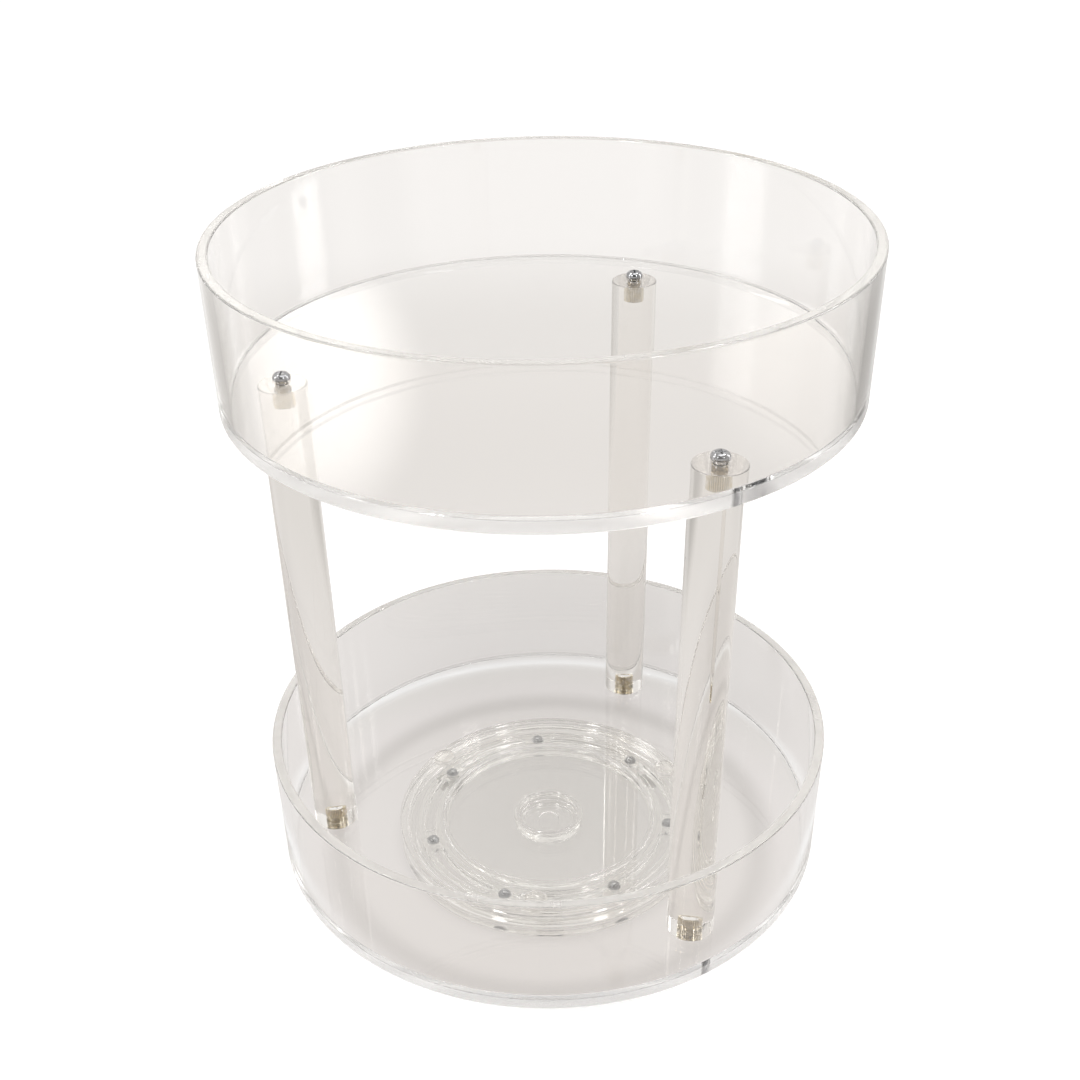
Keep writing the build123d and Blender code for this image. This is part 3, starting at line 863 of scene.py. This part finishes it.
# The dome: pale and graded upwards, dim high up in front, with two small soft glows behind.
DIM = 0.9
DIM_FRONT, DIM_SIDE = -0.7, -0.1
DIM_LOW, DIM_HIGH = 0.15, 0.4
GLOW_EDGE, GLOW_CORE = math.cos(0.12), math.cos(0.02)
world = bpy.data.worlds.new("pale_dome")
bpy.context.scene.world = world
world.use_nodes = True
tree = world.node_tree
tree.nodes.clear()
direction = add(tree, "ShaderNodeTexCoord").outputs["Generated"]
apart = add(tree, "ShaderNodeSeparateXYZ", {"Vector": direction})
sky = add(tree, "ShaderNodeValToRGB", {"Fac": apart.outputs["Z"]})
sky.color_ramp.elements[0].color = linear("#FCFBF9")
sky.color_ramp.elements[1].color = linear("#8B8884")
for stop, colour in ((0.1, "#E6E4E1"), (0.3, "#EDEBE8"), (0.7, "#FFFEFC"), (0.85, "#A5A29E")):
    sky.color_ramp.elements.new(stop).color = linear(colour)
front = add(tree, "ShaderNodeMapRange", {
    "Value": apart.outputs["Y"], "From Min": DIM_FRONT, "From Max": DIM_SIDE, "To Min": DIM, "To Max": 0.0})
high = add(tree, "ShaderNodeMapRange", {
    "Value": apart.outputs["Z"], "From Min": DIM_LOW, "From Max": DIM_HIGH})
unlit = add(tree, "ShaderNodeMath", {
    0: front.outputs["Result"], 1: high.outputs["Result"]}, operation="MULTIPLY")
strength = add(tree, "ShaderNodeMath", {0: 1.0, 1: unlit.outputs["Value"]}, operation="SUBTRACT")
for glow_from, power in (((-0.2, 0.9, 0.4), 2.0), ((0.24, 0.89, 0.39), 1.0)):
    facing = add(tree, "ShaderNodeVectorMath", {
        0: direction, 1: Vector(glow_from).normalized()}, operation="DOT_PRODUCT")
    glow = add(tree, "ShaderNodeMapRange", {
        "Value": facing.outputs["Value"], "From Min": GLOW_EDGE, "From Max": GLOW_CORE, "To Max": power},
        interpolation_type="SMOOTHSTEP")
    strength = add(tree, "ShaderNodeMath", {
        0: strength.outputs["Value"], 1: glow.outputs["Result"]}, operation="ADD")
dome = add(tree, "ShaderNodeBackground", {
    "Color": sky.outputs["Color"], "Strength": strength.outputs["Value"]})
add(tree, "ShaderNodeOutputWorld", {"Surface": dome.outputs["Background"]})


# Lights: three soft boxes for the whole, and four small bright lamps whose only work is the sparkle on edges
# and metal. Each is brightest in its middle and fades to its edges, as cloth over a lamp does. A line gives
# its name, place, aim, width, length and watts, and whether it lights the table.
FACE_MIDDLE = (0.5, 0.5, 0.0)
FADE_FROM = 0.25
FADE_TO = 0.5
LOW_AIM = (0.0, 0.0, 0.1)
HIGH_AIM = (0.0, 0.0, 0.2)
lamps = [
    ("box_overhead", (0.15, 0.1, 1.9), LOW_AIM, 1.5, 1.5, 16.0, True),
    ("box_right", (1.5, 0.3, 0.9), HIGH_AIM, 0.5, 1.4, 10.0, True),
    ("box_left", (-1.5, -0.1, 1.0), HIGH_AIM, 0.7, 1.2, 8.5, True),
    ("lamp_left", (-0.8, 0.5, 1.7), LOW_AIM, 0.3, 0.3, 13.0, False),
    ("lamp_right", (0.7, 0.7, 1.8), LOW_AIM, 0.3, 0.3, 13.0, False),
    ("lamp_front_left", (-1.0, -1.2, 1.55), LOW_AIM, 0.32, 0.32, 15.0, False),
    ("lamp_front_right", (1.0, -1.2, 1.55), LOW_AIM, 0.32, 0.32, 15.0, False),
]
for name, spot, aim, width, length, power, on_table in lamps:
    lamp = bpy.data.lights.new(name, "AREA")
    lamp.shape, lamp.size, lamp.size_y, lamp.energy = "RECTANGLE", width, length, power
    lamp.use_nodes = True
    tree = lamp.node_tree
    tree.nodes.clear()
    face = add(tree, "ShaderNodeNewGeometry").outputs["Parametric"]
    off_middle = add(tree, "ShaderNodeVectorMath", {0: face, 1: FACE_MIDDLE}, operation="SUBTRACT")
    spread = add(tree, "ShaderNodeVectorMath", {0: off_middle.outputs["Vector"]}, operation="ABSOLUTE")
    sides = add(tree, "ShaderNodeSeparateXYZ", {"Vector": spread.outputs["Vector"]})
    across, along = (add(tree, "ShaderNodeMapRange", {
        "Value": sides.outputs[side], "From Min": FADE_FROM, "From Max": FADE_TO,
        "To Min": 1.0, "To Max": 0.0}, interpolation_type="SMOOTHSTEP") for side in ("X", "Y"))
    soft = add(tree, "ShaderNodeMath", {
        0: across.outputs["Result"], 1: along.outputs["Result"]}, operation="MULTIPLY")
    shine = add(tree, "ShaderNodeEmission", {"Strength": soft.outputs["Value"]})
    add(tree, "ShaderNodeOutputLight", {"Surface": shine.outputs["Emission"]})
    holder = bpy.data.objects.new(name, lamp)
    holder.location = spot
    holder.rotation_euler = (Vector(aim) - Vector(spot)).to_track_quat("-Z", "Y").to_euler()
    holder.visible_diffuse = on_table
    bpy.context.scene.collection.objects.link(holder)


# Side cards: two upright grey cards beside the turntable, out of sight of the camera and of the table. Only
# what is clear or bright picks them up, and their soft bands draw its edges. They fade out at all four sides.
CARD_FROM, CARD_TO = -0.25, 0.5
CARD_LOW, CARD_HIGH = 0.001, 0.34
CARD_OUT = 0.3
CARD_FADE = 0.12
CARD_FULL = (0.3, 0.55)
card_bands = [(0.23, "#BFBCB8"), (0.34, "#F1EFEC"), (0.45, "#C8C5C1"), (0.62, "#D2CFCB"), (0.74, "#F2F0ED")]
for name, side, strength in (("card_left", -1, 1.0), ("card_right", 1, 0.75)):
    grey, tree, output = new_finish("graded_grey_" + name)
    place = add(tree, "ShaderNodeTexCoord").outputs["Object"]
    apart = add(tree, "ShaderNodeSeparateXYZ", {"Vector": place})
    along = add(tree, "ShaderNodeMapRange", {
        "Value": apart.outputs["Y"], "From Min": CARD_FROM, "From Max": CARD_TO})
    bands = add(tree, "ShaderNodeValToRGB", {"Fac": along.outputs["Result"]})
    bands.color_ramp.interpolation = "EASE"
    bands.color_ramp.elements[0].color = linear("#CFCCC8")
    bands.color_ramp.elements[1].color = linear("#FFFFFF")
    for stop, colour in card_bands:
        bands.color_ramp.elements.new(stop).color = linear(colour)
    glow = add(tree, "ShaderNodeEmission", {"Color": bands.outputs["Color"], "Strength": strength})
    rise = add(tree, "ShaderNodeMapRange", {"Value": apart.outputs["Z"], "From Max": CARD_HIGH})
    fade = add(tree, "ShaderNodeValToRGB", {"Fac": rise.outputs["Result"]})
    fade.color_ramp.interpolation = "EASE"
    for end in fade.color_ramp.elements:
        end.color = linear("#000000")
    for stop in CARD_FULL:
        fade.color_ramp.elements.new(stop).color = linear("#FFFFFF")
    front_end = add(tree, "ShaderNodeMapRange", {
        "Value": apart.outputs["Y"], "From Min": CARD_FROM, "From Max": CARD_FROM + CARD_FADE},
        interpolation_type="SMOOTHSTEP")
    rear_end = add(tree, "ShaderNodeMapRange", {
        "Value": apart.outputs["Y"], "From Min": CARD_TO - CARD_FADE, "From Max": CARD_TO,
        "To Min": 1.0, "To Max": 0.0}, interpolation_type="SMOOTHSTEP")
    between = add(tree, "ShaderNodeMath", {
        0: front_end.outputs["Result"], 1: rear_end.outputs["Result"]}, operation="MULTIPLY")
    shown = add(tree, "ShaderNodeMath", {
        0: between.outputs["Value"], 1: fade.outputs["Color"]}, operation="MULTIPLY")
    unseen = add(tree, "ShaderNodeBsdfTransparent")
    soft_edge = add(tree, "ShaderNodeMixShader", {
        0: shown.outputs["Value"], 1: unseen.outputs["BSDF"], 2: glow.outputs["Emission"]})
    tree.links.new(soft_edge.outputs["Shader"], output.inputs["Surface"])
    x = side * CARD_OUT
    card_mesh = bpy.data.meshes.new(name)
    card_mesh.from_pydata([(x, CARD_FROM, CARD_LOW), (x, CARD_TO, CARD_LOW), (x, CARD_TO, CARD_HIGH),
                           (x, CARD_FROM, CARD_HIGH)], [], [(0, 1, 2, 3)])
    card_mesh.materials.append(grey)
    card = bpy.data.objects.new(name, card_mesh)
    card.visible_camera = card.visible_diffuse = card.visible_shadow = False
    bpy.context.scene.collection.objects.link(card)


# The camera: stands in front of the turntable and above the upper tray, looking down at it.
# The frame is a crop of a wider picture, so the lens axis meets it a little left of the middle and below it.
FRAME_PIXELS = 1080
FOCAL_PIXELS = 1402.1
AXIS_PIXEL = (525.8, 657.7)
CAMERA_SPOT = (0.0, -0.5740, 0.51925)
PITCH, YAW, ROLL = math.radians(35.04), math.radians(-1.03), math.radians(-1.37)
SENSOR = 36.0
NEAREST = 0.01
BOUNCES = 72
CLEAR_BOUNCES = 40
ahead = Vector((math.sin(YAW) * math.cos(PITCH), math.cos(YAW) * math.cos(PITCH), -math.sin(PITCH)))
right = Vector((math.cos(YAW), -math.sin(YAW), 0))
above = right.cross(ahead)
tilted_right = math.cos(ROLL) * right + math.sin(ROLL) * above
tilted_up = math.cos(ROLL) * above - math.sin(ROLL) * right
lens = bpy.data.cameras.new("camera")
lens.sensor_width = SENSOR
lens.lens = FOCAL_PIXELS / FRAME_PIXELS * SENSOR
lens.shift_x = (FRAME_PIXELS / 2 - AXIS_PIXEL[0]) / FRAME_PIXELS
lens.shift_y = (AXIS_PIXEL[1] - FRAME_PIXELS / 2) / FRAME_PIXELS
lens.clip_start = NEAREST
camera = bpy.data.objects.new("camera", lens)
turned_to = Matrix((tilted_right, tilted_up, -ahead)).transposed().to_4x4()
camera.matrix_world = Matrix.Translation(CAMERA_SPOT) @ turned_to
bpy.context.scene.collection.objects.link(camera)
scene = bpy.context.scene
scene.camera = camera
scene.view_settings.view_transform = "Standard"
scene.cycles.max_bounces = scene.cycles.transmission_bounces = scene.cycles.glossy_bounces = BOUNCES
scene.cycles.transparent_max_bounces = CLEAR_BOUNCES
